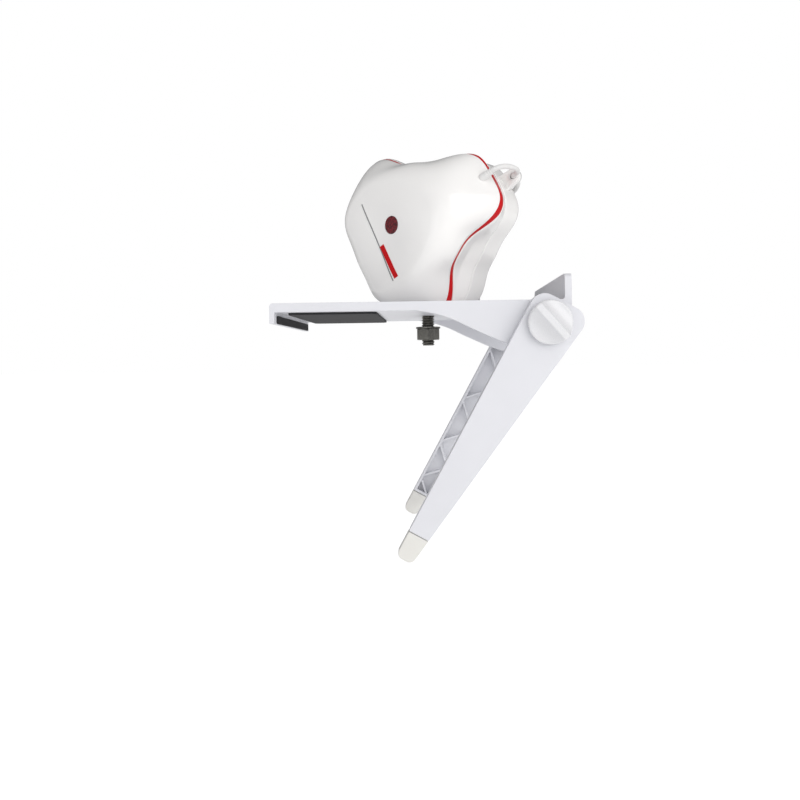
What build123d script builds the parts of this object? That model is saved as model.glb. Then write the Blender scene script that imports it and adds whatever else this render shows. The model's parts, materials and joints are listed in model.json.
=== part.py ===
# A three-lobed light sensor on a shelf that stands on top of a monitor and is
# braced by a hinged leg behind it. A lens cap and a plugged cable hang with it.
# X runs rearward over the monitor, Y across it, Z up. X = 0 is the contact face
# of the front lip pad, Z = 0 that of the pad under the deck, Y = 0 the mid-plane.
# "Near" pieces lie at -Y and "far" pieces at +Y. Millimetres throughout.
from build123d import *
import math
import os

os.makedirs("parts", exist_ok=True)

SIDES = {"near": -1, "far": 1}

# ---------------------------------------------------------------- shared sizes

gap = 0.05                # clearance between neighbouring pieces
loose = 0.1               # wider clearance

deck_top = 5.0            # Z of the shelf's upper face
deck_under = 1.0          # Z of the shelf's lower face
deck_half = 43.7          # half width of the shelf
ear_t = 3.0               # side ear thickness
bolt_x = 67.0             # X of the mounting stud

pivot_x, pivot_z = 119.5, -5.5
boss_in = 36.0            # |Y| of the pivot boss's inner end
arm_in, arm_out = 44.0, 50.0      # |Y| of the arm's inner rim and outer face

m5_r = 2.45               # pivot stud radius
captive_half = 4.0        # half the captive nut's width across flats
captive_t = 4.0           # its thickness
quarter_r = 3.175         # 1/4-20 stud radius
bushing_r = 4.3           # tripod bushing radius

BOLT = Plane(origin=(bolt_x, 0, 0), x_dir=(1, 0, 0), z_dir=(0, 0, 1))


def save(part, name):
    """Label a piece and write its file."""
    part.label = name
    export_step(part, f"parts/{name}.step")


def polar(dist, deg):
    """Plane coordinates of a point at a distance and an angle."""
    return (dist * math.cos(math.radians(deg)), dist * math.sin(math.radians(deg)))


def disc(plane, radius, height, bore=None, spot=(0, 0)):
    """A round piece standing on a plane, with or without a bore."""
    with BuildPart() as body:
        with BuildSketch(plane):
            with Locations(spot):
                Circle(radius)
                if bore:
                    Circle(bore, mode=Mode.SUBTRACT)
        extrude(amount=height)
    return body.part


def pivot_plane(side, distance, x_dir=(1, 0, 0)):
    """Plane across the pivot axis at |Y| = distance, facing outward."""
    return Plane(
        origin=(pivot_x, side * distance, pivot_z), x_dir=x_dir, z_dir=(0, side, 0)
    )


# ---------------------------------------------------------------- shelf

lip_out = -3.0            # X of the front face
lip_drop = -4.0           # Z of the lip's lower edge
lip_pad_t = 0.8
fence_x = 127.5           # X of the rear fence's front face
fence_top = 16.5
deck_rear = 130.6         # X of the rear face
bolt_hole_r = 3.4
boss_r = 7.2              # pivot boss radius

# (X, Z) from the lip round the plate and the fence
shelf_section = [
    (lip_out, lip_drop), (lip_out, deck_top), (fence_x, deck_top),
    (fence_x, fence_top), (deck_rear, fence_top), (deck_rear, deck_under),
    (-lip_pad_t, deck_under), (-lip_pad_t, lip_drop),
]

# (X, Z) along the lower edge of an ear, front to rear
ear_slope = [
    (56.0, deck_under + 0.6), (63.5, 0.7), (70.5, -0.7), (79.2, -3.7),
    (86.9, -7.5), (94.6, -11.0), (102.4, -14.5), (110.2, -17.2),
]
ear_bottom = [
    ear_slope[-1], (115.5, -17.9), (122.0, -17.0), (127.6, -13.0), (deck_rear, -5.0),
]
ear_joint_dir = (0.93, -0.32)     # direction where the two curves meet
ear_root_z = 3.0                  # ears reach up into the plate to here


def edges_at(builder, along, *places):
    """Edges along an axis that lie at each given (axis, position)."""
    edges = builder.edges().filter_by(along)
    for axis, position in places:
        edges = edges.filter_by_position(axis, position - 0.01, position + 0.01)
    return edges


with BuildPart() as shelf_deck:
    # lip, plate and rear fence in one section
    with BuildSketch(Plane.XZ.offset(-deck_half)):
        with BuildLine():
            Polyline(*shelf_section, close=True)
        make_face()
    extrude(amount=2 * deck_half)
    # upper corners of the fence, top of the lip, then the fence's root
    fillet(edges_at(shelf_deck, Axis.X, (Axis.Z, fence_top)), radius=2.5)
    fillet(edges_at(shelf_deck, Axis.Y, (Axis.X, lip_out), (Axis.Z, deck_top)), radius=1.6)
    fillet(edges_at(shelf_deck, Axis.Y, (Axis.X, fence_x), (Axis.Z, deck_top)), radius=1.2)
    # side ears that carry the pivot
    for y in (-deck_half, deck_half - ear_t):
        with BuildSketch(Plane.XZ.offset(-y)):
            with BuildLine():
                Spline(*ear_slope, tangents=((1, 0), ear_joint_dir))
                Spline(*ear_bottom, tangents=(ear_joint_dir, (0, 1)))
                Polyline(
                    ear_bottom[-1], (deck_rear, ear_root_z),
                    (ear_slope[0][0], ear_root_z), ear_slope[0],
                )
            make_face()
        extrude(amount=-ear_t)
    # bosses inside the ears with the pockets of the captive nuts
    for side in SIDES.values():
        boss = pivot_plane(side, boss_in)
        with BuildSketch(boss):
            Circle(boss_r)
        extrude(amount=deck_half - ear_t - boss_in)
        with BuildSketch(boss):
            RegularPolygon(radius=captive_half + 0.06, side_count=6, major_radius=False)
        extrude(amount=captive_t + 0.15, mode=Mode.SUBTRACT)
        with BuildSketch(boss):
            Circle(m5_r + 0.15)
        extrude(amount=10, mode=Mode.SUBTRACT)
    # mounting hole
    with BuildSketch(BOLT.offset(deck_under - 1)):
        Circle(bolt_hole_r)
    extrude(amount=8, mode=Mode.SUBTRACT)

save(shelf_deck.part, "shelf_deck")

pad_width = 78.0          # both pads, along Y

with BuildPart() as monitor_top_pad:
    with BuildSketch(Plane.XY):
        with Locations((24.0, 0)):
            RectangleRounded(40.0, pad_width, 3.0)
    extrude(amount=deck_under)

save(monitor_top_pad.part, "monitor_top_pad")

with BuildPart() as front_lip_pad:
    with BuildSketch(Plane.YZ.offset(-lip_pad_t)):
        with Locations((0, -2.1)):
            RectangleRounded(pad_width, 3.6, 1.2)
    extrude(amount=lip_pad_t)

save(front_lip_pad.part, "front_lip_pad")

# ---------------------------------------------------------------- leg
# Leg coordinates: s down the leg from the pivot, then t toward its front edge.

leg_lean = 28.9           # front edge of the leg, degrees from vertical
leg_taper = 7.9           # angle between its front and rear edges
front_off = 11.2          # pivot to the front edge
rear_off = 13.3           # pivot to the rear edge
arm_top = 11.0            # arm length above the pivot
arm_len = 108.0           # pivot to the foot line
foot_tip = 120.5          # pivot to the tip
arm_wall = 1.8            # thickness of the arm's outer plate
rim_t = 1.4
rim_rear_t = rim_t * 1.01         # rim at the rear edge, measured along t
leg_overlap = 0.7         # how far the cross webs reach into the arms
hollow_out = arm_out - arm_wall   # |Y| of the hollow's floor

rib_places = (16.5, 49.5, 77.0, 99.5)     # s where the crossing ribs leave the front edge
rib_half = 0.8
rib_reach = 40.0
rib_margin = 0.2          # ribs stop this far inside the arm's outline
rib_top = 8.0

tongue_out, tongue_t = 48.0, 2.4
cross_webs = ((20.0, 42.0, 2.0), (95.0, 103.0, 2.6))      # s from, s to, thickness

lean = math.radians(leg_lean)
LEG = Plane(
    origin=(pivot_x, 0, pivot_z),
    x_dir=(-math.sin(lean), 0, -math.cos(lean)),
    z_dir=(0, 1, 0),
)


def leg_rear(s):
    """t of the leg's rear edge at distance s below the pivot."""
    taper = math.radians(leg_taper)
    return -rear_off / math.cos(taper) + s * math.tan(taper)


# (s, t) outlines
arm_outline = [
    (-arm_top, front_off), (arm_len, front_off),
    (arm_len, leg_rear(arm_len)), (-arm_top, leg_rear(-arm_top)),
]
hollow_outline = [
    (-arm_top + rim_t, front_off - rim_t), (arm_len - rim_t, front_off - rim_t),
    (arm_len - rim_t, leg_rear(arm_len - rim_t) + rim_rear_t),
    (-arm_top + rim_t, leg_rear(-arm_top + rim_t) + rim_rear_t),
]
rib_bounds = [
    (rib_top, front_off - rib_margin), (arm_len - rib_margin, front_off - rib_margin),
    (arm_len - rib_margin, leg_rear(arm_len) + rib_margin),
    (rib_top, leg_rear(rib_top) + rib_margin),
]
tongue_outline = [
    (arm_len - 0.5, 9.0), (arm_len + 6.0, 8.4), (arm_len + 6.0, 4.6), (arm_len - 0.5, 4.0),
]
socket_outline = [
    (arm_len - 1, 9.12), (arm_len + 6.1, 8.5), (arm_len + 6.1, 4.5), (arm_len - 1, 3.88),
]
foot_outline = [
    (arm_len + 0.35, front_off), (foot_tip, front_off),
    (foot_tip, leg_rear(foot_tip)), (arm_len + 0.35, leg_rear(arm_len)),
]

with BuildPart() as support_leg:
    for side in SIDES.values():
        # arm, rounded at its upper end
        with BuildSketch(LEG.offset(side * arm_out)) as arm_face:
            Polygon(*arm_outline, align=None)
            fillet(arm_face.vertices().group_by(Axis.X)[0], radius=6.5)
        extrude(amount=-side * (arm_out - arm_in))
        # hollow inside the rim
        with BuildSketch(LEG.offset(side * hollow_out)) as hollow:
            Polygon(*hollow_outline, align=None)
            fillet(hollow.vertices().group_by(Axis.X)[0], radius=5.1)
        extrude(amount=-side * 10, mode=Mode.SUBTRACT)
        # crossing diagonal ribs inside the hollow
        with BuildSketch(LEG.offset(side * hollow_out)):
            for s in rib_places:
                for sign in (1, -1):
                    shift = sign * rib_reach
                    Polygon(
                        (s - rib_half, front_off), (s + rib_half, front_off),
                        (s + rib_half + shift, front_off - rib_reach),
                        (s - rib_half + shift, front_off - rib_reach), align=None,
                    )
            Polygon(*rib_bounds, align=None, mode=Mode.INTERSECT)
        extrude(amount=-side * (hollow_out - arm_in - 0.8))
        # pivot boss and its hole
        with BuildSketch(LEG.offset(side * hollow_out)):
            Circle(7.5)
        extrude(amount=-side * (hollow_out - 45.0))
        with BuildSketch(LEG.offset(side * (arm_out + 1))):
            Circle(m5_r + loose)
        extrude(amount=-side * 9, mode=Mode.SUBTRACT)
        # tongue that the foot is pushed over
        with BuildSketch(LEG.offset(side * tongue_out)):
            Polygon(*tongue_outline, align=None)
        extrude(amount=-side * tongue_t)
    # upper cross web and lower tie bar along the rear edge
    for s_from, s_to, web_t in cross_webs:
        with BuildSketch(LEG.offset(-arm_in - leg_overlap)):
            Polygon(
                (s_from, leg_rear(s_from)), (s_to, leg_rear(s_to)),
                (s_to, leg_rear(s_to) + web_t), (s_from, leg_rear(s_from) + web_t),
                align=None,
            )
        extrude(amount=2 * (arm_in + leg_overlap))

save(support_leg.part, "support_leg")


def foot_pad(side):
    """Foot that carries the arm's outline on to the tip, with the tongue's socket."""
    with BuildPart() as pad:
        with BuildSketch(LEG.offset(side * arm_out)) as tip:
            Polygon(*foot_outline, align=None)
            fillet(tip.vertices().group_by(Axis.X)[-1], radius=3.0)
        extrude(amount=-side * (arm_out - arm_in))
        with BuildSketch(LEG.offset(side * (tongue_out + gap))):
            Polygon(*socket_outline, align=None)
        extrude(amount=-side * (tongue_t + 0.1), mode=Mode.SUBTRACT)
    return pad.part


# ---------------------------------------------------------------- pivot hardware

knob_r, knob_h = 9.65, 8.0
knob_off = 0.4            # knob stands off the arm by this much
ridge_dir = (0.659, 0, -0.753)    # direction of the knob's grip ridge
scoop_r = 6.7
scoop_side, scoop_up = 8.1, 9.8   # scoop axis from the ridge and from the knob's base
scoop_start = -15         # scoops are cut from here along the ridge
collar_r, collar_t = 3.5, 1.5     # stud's collar


def clamp_knob(side):
    """Round knob with a scoop either side of a grip ridge."""
    base = pivot_plane(side, arm_out + knob_off, ridge_dir)
    across = Plane(
        origin=base.from_local_coords(Vector(scoop_start, 0, 0)),
        x_dir=base.y_dir, z_dir=base.x_dir,
    )
    with BuildPart() as cap:
        with BuildSketch(base):
            Circle(knob_r)
        extrude(amount=knob_h)
        outer_face = cap.faces().sort_by(Axis.Y)[-1 if side > 0 else 0]
        fillet(outer_face.edges(), radius=0.8)
        for sign in (-1, 1):
            with BuildSketch(across):
                with Locations((sign * scoop_side, scoop_up)):
                    Circle(scoop_r)
            extrude(amount=30, mode=Mode.SUBTRACT)
        # seat of the stud's collar, then the stud's bore
        for radius, depth in ((collar_r + 0.1, 1.66), (m5_r + gap, 4.5)):
            with BuildSketch(base.offset(-0.01)):
                Circle(radius)
            extrude(amount=depth, mode=Mode.SUBTRACT)
    return cap.part


def knob_stud(side):
    """Stud with a chamfered inner end and a collar inside the knob."""
    stud_in = boss_in + 0.2
    start = pivot_plane(side, stud_in)
    with BuildPart() as rod:
        with BuildSketch(start):
            Circle(m5_r)
        extrude(amount=arm_out + 4.6 - stud_in)
        inner_face = rod.faces().sort_by(Axis.Y)[0 if side > 0 else -1]
        chamfer(inner_face.edges(), length=0.5)
        with BuildSketch(start.offset(arm_out + knob_off + gap - stud_in)):
            Circle(collar_r)
        extrude(amount=collar_t)
    return rod.part


def friction_washer(side):
    """Washer between the ear and the arm."""
    return disc(pivot_plane(side, deck_half + gap), 6.5, 1.2, bore=m5_r + loose)


def captive_nut(side):
    """Hex nut in the pocket of the pivot boss."""
    with BuildPart() as nut:
        with BuildSketch(pivot_plane(side, boss_in + 0.1)):
            RegularPolygon(radius=captive_half, side_count=6, major_radius=False)
            Circle(m5_r + gap, mode=Mode.SUBTRACT)
        extrude(amount=captive_t)
    return nut.part


for make in (foot_pad, clamp_knob, knob_stud, friction_washer, captive_nut):
    for side_name, side in SIDES.items():
        save(make(side), f"{make.__name__}_{side_name}")

# ---------------------------------------------------------------- mounting stud

stud_low, stud_high = -13.8, 14.0         # Z of the stud's ends
washer_z = -5.4           # Z of the washer's lower face
nut_af = 11.11            # 1/4-20 hex nut across flats
nut_h = 5.55
nut_z = washer_z - gap - nut_h            # Z of the nut's lower face

with BuildPart() as mount_stud:
    with BuildSketch(BOLT.offset(stud_low)):
        Circle(quarter_r)
    extrude(amount=stud_high - stud_low)
    chamfer(mount_stud.faces().sort_by(Axis.Z)[0].edges(), length=0.8)

save(mount_stud.part, "mount_stud")

save(disc(BOLT.offset(washer_z), 6.1, 0.9, bore=quarter_r + loose), "clamp_washer")

with BuildPart() as clamp_nut:
    with BuildSketch(BOLT.offset(nut_z)):
        RegularPolygon(radius=nut_af / 2, side_count=6, major_radius=False, rotation=30)
    extrude(amount=nut_h)
    # corners rounded off by a cylinder
    with BuildSketch(BOLT.offset(nut_z)):
        Circle(nut_af / 2 + 0.75)
    extrude(amount=nut_h, mode=Mode.INTERSECT)
    with BuildSketch(BOLT.offset(nut_z - 0.05)):
        Circle(quarter_r + gap)
    extrude(amount=nut_h + 1, mode=Mode.SUBTRACT)

save(clamp_nut.part, "clamp_nut")

# ---------------------------------------------------------------- sensor head
# Head coordinates: u across, v up, w out of the front surface. The lens looks
# toward -w. Angles are measured from u toward v.

head_yaw = 29.9           # front turned from -Y toward -X, degrees
face_h = 40.45            # centre of the three-lobed outline above its base
seam_w = 3.0              # front shell begins here at the lobes
arch_top = 14.6           # and here at the middle of the flanks
arch_r = 33.0             # radius of the seam's arches
band_lobe, band_flank = 4.3, 2.0          # width of the coloured band
part_w = -4.93            # rear shell ends and the cap begins
front_w = 25.65           # front surface at the middle
wall = 2.4

# outline of six tangent arcs: lobes of radius lobe_r centred at lobe_d, joined
# by concave flanks that come within waist of the centre
lobe_at = 27.0            # angle of the first lobe, degrees
lobe_d = 21.3
lobe_r = 21.5
waist = 30.0
lobe_angles = (lobe_at, lobe_at + 120, lobe_at + 240)

front_taper_w = 16.5      # side walls are straight up to here
front_taper = 40.0        # then lean in by this many degrees
tilt_u, tilt_v = 0.16, 0.04       # slope of the front surface

board_w, board_t = 6.0, 1.6       # circuit board's rear face and thickness
post_r = 3.2              # screw bosses and board posts
screw_spots = [polar(25.0, lobe_at), polar(25.0, lobe_at + 120), (0.0, -20.0)]

yaw = math.radians(head_yaw)
HEAD = Plane(
    origin=(bolt_x, 0, deck_top + gap + face_h),
    x_dir=(math.cos(yaw), -math.sin(yaw), 0),
    z_dir=(-math.sin(yaw), -math.cos(yaw), 0),
)


def head_point(u, v, w):
    """Global position of a point in head coordinates."""
    return HEAD.from_local_coords(Vector(u, v, w))


def head_vector(u, v, w):
    """Global direction of a vector in head coordinates."""
    return head_point(u, v, w) - head_point(0, 0, 0)


def radial_point(radius, deg, w):
    """Global position of a point given by radius and angle about the head's axis."""
    return head_point(*polar(radius, deg), w)


def level_plane(v):
    """Horizontal plane through the head at height v."""
    return Plane(origin=head_point(0, v, 0), x_dir=(1, 0, 0), z_dir=(0, 0, 1))


def front_plane(u, v, w):
    """Plane through a head point with the slope of the front surface."""
    return Plane(
        origin=head_point(u, v, w),
        x_dir=head_vector(1, 0, tilt_u),
        z_dir=head_vector(-tilt_u, -tilt_v, 1),
    )


BASE = level_plane(-face_h)               # underside of the head
INNER_BASE = level_plane(-face_h + wall)  # floor of its hollow

window_u, window_v = -4.64, -2.24
window_w = front_w + tilt_u * window_u + tilt_v * window_v
WINDOW = front_plane(window_u, window_v, window_w)

# cable exit at the tip of the first lobe, toward +X
exit_w = 9.0
exit_dir = head_vector(*polar(1, lobe_at), 0)
EXIT = Plane(origin=head_point(0, 0, exit_w), x_dir=HEAD.z_dir, z_dir=exit_dir)


def draw_outline(less=0.0):
    """Draw the three-lobed outline, moved inward by less, in the open BuildLine."""
    # distance from the waist out to the centre of a flank arc
    flank_r = (
        (lobe_d**2 + waist**2 - lobe_d * waist - lobe_r**2)
        / (2 * lobe_r + lobe_d - 2 * waist)
    )

    def toward(center, target, dist):
        span = math.hypot(target[0] - center[0], target[1] - center[1])
        return (
            center[0] + (target[0] - center[0]) * dist / span,
            center[1] + (target[1] - center[1]) * dist / span,
        )

    for angle in lobe_angles:
        center = polar(lobe_d, angle)
        next_center = polar(lobe_d, angle + 120)
        before = polar(waist + flank_r, angle - 60)
        after = polar(waist + flank_r, angle + 60)
        start = toward(center, before, lobe_r - less)
        end = toward(center, after, lobe_r - less)
        next_start = toward(next_center, after, lobe_r - less)
        ThreePointArc(start, polar(lobe_d + lobe_r - less, angle), end)
        ThreePointArc(end, polar(waist - less, angle + 60), next_start)


def lobed_prism(w_from, w_to, less=0.0, floor=BASE):
    """A prism of the outline between two depths, flat at the bottom."""
    with BuildPart() as prism:
        with BuildSketch(HEAD.offset(w_from)):
            with BuildLine():
                draw_outline(less)
            make_face()
        extrude(amount=w_to - w_from)
        split(bisect_by=floor, keep=Keep.TOP)
    return prism.part


def behind_seam(drop_lobe, drop_flank):
    """Everything behind the arched seam, moved back by the given amounts."""
    back = 40
    with BuildPart() as form:
        with BuildSketch(HEAD.offset(-back)):
            Rectangle(130, 130)
        extrude(amount=back + seam_w - drop_lobe)
        for angle in lobe_angles:
            flank = angle + 60
            start = radial_point(15, flank, arch_top - drop_flank - arch_r)
            out = head_vector(*polar(1, flank), 0)
            with BuildSketch(Plane(origin=start, x_dir=HEAD.z_dir, z_dir=out)):
                Circle(arch_r)
            extrude(amount=40)
    return form.part


def front_form(less, floor):
    """Straight side walls, then a tapered front cut by the sloping surface."""
    with BuildPart() as form:
        with BuildSketch(HEAD.offset(seam_w)):
            with BuildLine():
                draw_outline(less)
            make_face()
        extrude(amount=front_taper_w - seam_w)
        with BuildSketch(HEAD.offset(front_taper_w)):
            with BuildLine():
                draw_outline(less)
            make_face()
        extrude(amount=16.0, taper=front_taper)
        split(bisect_by=floor, keep=Keep.TOP)
        split(bisect_by=front_plane(0, 0, front_w - less), keep=Keep.BOTTOM)
    return form.part


with BuildPart() as front_shell:
    add(front_form(0.0, BASE))
    add(front_form(wall, INNER_BASE), mode=Mode.SUBTRACT)
    # screw bosses reaching in from the front wall, trimmed to the outer form
    for spot in screw_spots:
        with BuildSketch(HEAD.offset(8.0)):
            with Locations(spot):
                Circle(post_r)
        extrude(amount=21.0)
    add(front_form(0.0, BASE), mode=Mode.INTERSECT)
    for spot in screw_spots:
        with BuildSketch(HEAD.offset(7.9)):
            with Locations(spot):
                Circle(1.3)
        extrude(amount=7.0, mode=Mode.SUBTRACT)
    # stepped seat of the ambient light window
    for depth, radius in ((5, 3.4), (1.3, 4.15)):
        with BuildSketch(WINDOW.offset(-depth)):
            Circle(radius)
        extrude(amount=8, mode=Mode.SUBTRACT)
    # cable exit
    with BuildSketch(EXIT.offset(36.0)):
        Circle(2.25)
    extrude(amount=14, mode=Mode.SUBTRACT)
    # edge that meets the coloured band, and clearance for the bushing
    add(behind_seam(0.0, 0.0), mode=Mode.SUBTRACT)
    with BuildSketch(BOLT.offset(deck_top - 1)):
        Circle(bushing_r + gap)
    extrude(amount=8, mode=Mode.SUBTRACT)

save(front_shell.part, "front_shell")

with BuildPart() as red_trim_band:
    add(lobed_prism(seam_w - band_lobe, arch_top))
    add(
        lobed_prism(seam_w - band_lobe - 1, arch_top + 1, wall, INNER_BASE),
        mode=Mode.SUBTRACT,
    )
    add(behind_seam(gap, gap), mode=Mode.INTERSECT)
    add(behind_seam(band_lobe, band_flank), mode=Mode.SUBTRACT)
    with BuildSketch(BOLT.offset(deck_top - 1)):
        Circle(bushing_r + gap)
    extrude(amount=8, mode=Mode.SUBTRACT)

save(red_trim_band.part, "red_trim_band")

bushing_block = Plane(
    origin=(bolt_x, 0, deck_top + gap + wall + 0.1), x_dir=HEAD.x_dir, z_dir=(0, 0, 1)
)

with BuildPart() as rear_shell:
    add(lobed_prism(part_w, arch_top))
    add(lobed_prism(part_w + 2.0, arch_top + 1, wall, INNER_BASE), mode=Mode.SUBTRACT)
    add(behind_seam(band_lobe + gap, band_flank + gap), mode=Mode.INTERSECT)
    # posts under the circuit board
    for spot in screw_spots:
        with BuildSketch(HEAD.offset(part_w + 1.0)):
            with Locations(spot):
                Circle(post_r)
        extrude(amount=board_w - 0.1 - part_w - 1.0)
    # block round the tripod bushing
    with BuildSketch(bushing_block):
        with Locations((0, -0.65)):
            Rectangle(15.0, 11.1)
    extrude(amount=9.4)
    # lens opening
    with BuildSketch(HEAD.offset(part_w - 1)):
        Circle(11.05)
    extrude(amount=6, mode=Mode.SUBTRACT)
    # screw holes with counterbores
    for spot in screw_spots:
        for radius, depth in ((1.35, 14), (2.35, 2.9)):
            with BuildSketch(HEAD.offset(part_w - 1)):
                with Locations(spot):
                    Circle(radius)
            extrude(amount=depth, mode=Mode.SUBTRACT)
    with BuildSketch(BOLT.offset(deck_top - 1)):
        Circle(bushing_r + gap)
    extrude(amount=11.2, mode=Mode.SUBTRACT)

save(rear_shell.part, "rear_shell")

# ---------------------------------------------------------------- lens cap

cap_w = -22.5             # rearmost face of the cap
cap_front_w = part_w - 0.07
lug_deg, lug_reach = 27.5, 48.0           # place of the eyelet's centre
lug_spot = polar(lug_reach, lug_deg)
lug_half = 3.6            # lug's end radius and half its width
lug_w, lug_t = -13.6, 3.6
weight_w = cap_w + wall + gap
weight_t = 4.0

with BuildPart() as cap_outer:
    add(lobed_prism(cap_w, cap_front_w))
    back = cap_outer.faces().sort_by(Axis(origin=(0, 0, 0), direction=HEAD.z_dir))[0]
    # only the arcs are bevelled, not the flat bottom
    rim = [edge for edge in back.edges() if edge.geom_type == GeomType.CIRCLE]
    chamfer(rim, length=4.0)

with BuildPart() as cap_shell:
    add(cap_outer.part)
    # eyelet lug on the tip of the first lobe
    with BuildSketch(HEAD.offset(lug_w)):
        with Locations(lug_spot):
            Circle(lug_half)
        with Locations(Location((*polar(lug_reach - 4.5, lug_deg), 0), (0, 0, lug_deg))):
            Rectangle(9.0, 2 * lug_half)
    extrude(amount=lug_t)
    add(
        lobed_prism(cap_w + wall, cap_front_w + 1, wall + 0.6, INNER_BASE),
        mode=Mode.SUBTRACT,
    )
    with BuildSketch(HEAD.offset(-20)):
        with Locations(lug_spot):
            Circle(1.85)
    extrude(amount=12, mode=Mode.SUBTRACT)

save(cap_shell.part, "cap_shell")

save(disc(HEAD.offset(lug_w), 1.8, lug_t, bore=1.3, spot=lug_spot), "cable_eyelet")

save(disc(HEAD.offset(weight_w), 17.0, weight_t), "cap_weight")

with BuildPart() as cap_liner:
    with BuildSketch(HEAD.offset(weight_w + weight_t + gap)):
        with BuildLine():
            draw_outline(17.0)
        make_face()
    extrude(amount=5.0)

save(cap_liner.part, "cap_liner")

save(disc(HEAD.offset(part_w - gap - 1.5), 17.5, 1.5, bore=11.3), "screen_pad_ring")

# ---------------------------------------------------------------- optics and board

barrel_steps = ((-4.8, 2.8, 9.1), (-2.0, 5.9, 8.1))       # w from, length, bore radius

with BuildPart() as lens_barrel:
    for step_w, step_len, bore_r in barrel_steps:
        with BuildSketch(HEAD.offset(step_w)):
            Circle(11.0)
            Circle(bore_r, mode=Mode.SUBTRACT)
        extrude(amount=step_len)

save(lens_barrel.part, "lens_barrel")

lens_w = -4.65            # outermost point of the lens
lens_crown = 29.6         # radius of its outer surface

with BuildPart() as objective_lens:
    with BuildSketch(HEAD.offset(lens_w)):
        Circle(9.0)
    extrude(amount=2.6)
    with Locations(head_point(0, 0, lens_w + lens_crown)):
        Sphere(radius=lens_crown, mode=Mode.INTERSECT)

save(objective_lens.part, "objective_lens")

baffle_w, baffle_t, baffle_r = -1.4, 3.0, 8.0

with BuildPart() as light_baffle:
    # honeycomb of round holes, then a solid rim
    with BuildSketch(HEAD.offset(baffle_w)):
        Circle(baffle_r)
        with HexLocations(1.9, 7, 7):
            Circle(1.45, mode=Mode.SUBTRACT)
        Circle(baffle_r, mode=Mode.INTERSECT)
    extrude(amount=baffle_t)
    with BuildSketch(HEAD.offset(baffle_w)):
        Circle(baffle_r)
        Circle(baffle_r - 0.8, mode=Mode.SUBTRACT)
    extrude(amount=baffle_t)

save(light_baffle.part, "light_baffle")


def square_chip(w, size, thick, spot=(0, 0)):
    """A square component whose rear face is at depth w."""
    with BuildPart() as chip:
        with BuildSketch(HEAD.offset(w)):
            with Locations(spot):
                Rectangle(size, size)
        extrude(amount=thick)
    return chip.part


chip_t = 1.45
save(square_chip(board_w - gap - chip_t, 6.0, chip_t), "sensor_chip")

with BuildPart() as circuit_board:
    with BuildSketch(HEAD.offset(board_w)):
        with BuildLine():
            draw_outline(8.5)
        make_face()
        # flat bottom edge
        with Locations((0, -40)):
            Rectangle(80, 31, mode=Mode.SUBTRACT)
        with Locations(*screw_spots):
            Circle(1.45, mode=Mode.SUBTRACT)
    extrude(amount=board_t)

save(circuit_board.part, "circuit_board")

window_spot = (window_u, window_v)
pipe_w = 8.8              # rear end of the light pipe

save(square_chip(board_w + board_t + gap, 2.6, 1.0, window_spot), "ambient_sensor")
save(
    disc(HEAD.offset(pipe_w), 2.4, window_w - pipe_w - 3.7, spot=window_spot),
    "light_pipe",
)
save(disc(WINDOW.offset(-3.0), 3.3, 1.5), "ambient_diffuser")
save(disc(WINDOW.offset(-1.2), 4.1, 1.3), "ambient_window")

# start ahead of the rear shell's back face, radius, length: head, then shank
screw_steps = ((0.1, 2.25, 1.7), (1.0, 1.25, 17.0))

with BuildPart() as case_screws:
    for spot in screw_spots:
        for start_w, radius, length in screw_steps:
            with BuildSketch(HEAD.offset(part_w + start_w)):
                with Locations(spot):
                    Circle(radius)
            extrude(amount=length)

save(case_screws.part, "case_screws")

save(
    disc(BOLT.offset(deck_top + gap + 0.1), bushing_r, 10.0, bore=quarter_r + gap),
    "tripod_bushing",
)

# ---------------------------------------------------------------- cable and plug

plug_u, plug_w = 9.0, -27.4
cable_start = radial_point(38.6, lobe_at, exit_w)

# from the exit, round the lobe, through the eyelet and across behind the cap
cable_points = [
    cable_start,
    radial_point(48.0, lobe_at, exit_w),
    radial_point(52.6, 25.6, 4.0),
    radial_point(53.0, 24.8, -3.5),
    radial_point(lug_reach, lug_deg, -9.0),
    radial_point(lug_reach, lug_deg, -16.5),
    radial_point(43.0, 27.0, -25.4),
    head_point(28.0, 16.0, -27.2),
    head_point(plug_u, -1.0, plug_w),
    head_point(plug_u, -6.0, plug_w),
]

save(disc(EXIT.offset(38.5), 2.2, 8.5, bore=1.3), "cable_grommet")

with BuildPart() as usb_cable:
    with BuildLine() as cable_path:
        Polyline(*cable_points)
    with BuildSketch(Plane(origin=cable_start, z_dir=exit_dir)):
        Circle(1.2)
    sweep(path=cable_path.line, transition=Transition.ROUND)

save(usb_cable.part, "usb_cable")

# plug points down, its length measured from the cable end
PLUG = Plane(
    origin=head_point(plug_u, -6.0 - gap, plug_w), x_dir=HEAD.x_dir, z_dir=-HEAD.y_dir
)
grip_w, grip_t, grip_corner = 15.0, 7.6, 2.0
grip_neck = 5.0           # length of the flare from the cable
shell_w, shell_t = 12.0, 4.5
shell_start = 12.5
cavity_start = 14.0       # open end of the shell is hollow from here
tongue_plug_t = 1.8

with BuildPart() as plug_grip:
    with BuildSketch(PLUG):
        RectangleRounded(9.0, 6.0, grip_corner)
    with BuildSketch(PLUG.offset(grip_neck)):
        RectangleRounded(grip_w, grip_t, grip_corner)
    loft()
    with BuildSketch(PLUG.offset(grip_neck)):
        RectangleRounded(grip_w, grip_t, grip_corner)
    extrude(amount=13.5)
    # socket for the shell
    with BuildSketch(PLUG.offset(shell_start - 0.1)):
        Rectangle(shell_w + 0.2, shell_t + 0.2)
    extrude(amount=8, mode=Mode.SUBTRACT)

save(plug_grip.part, "plug_grip")

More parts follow.
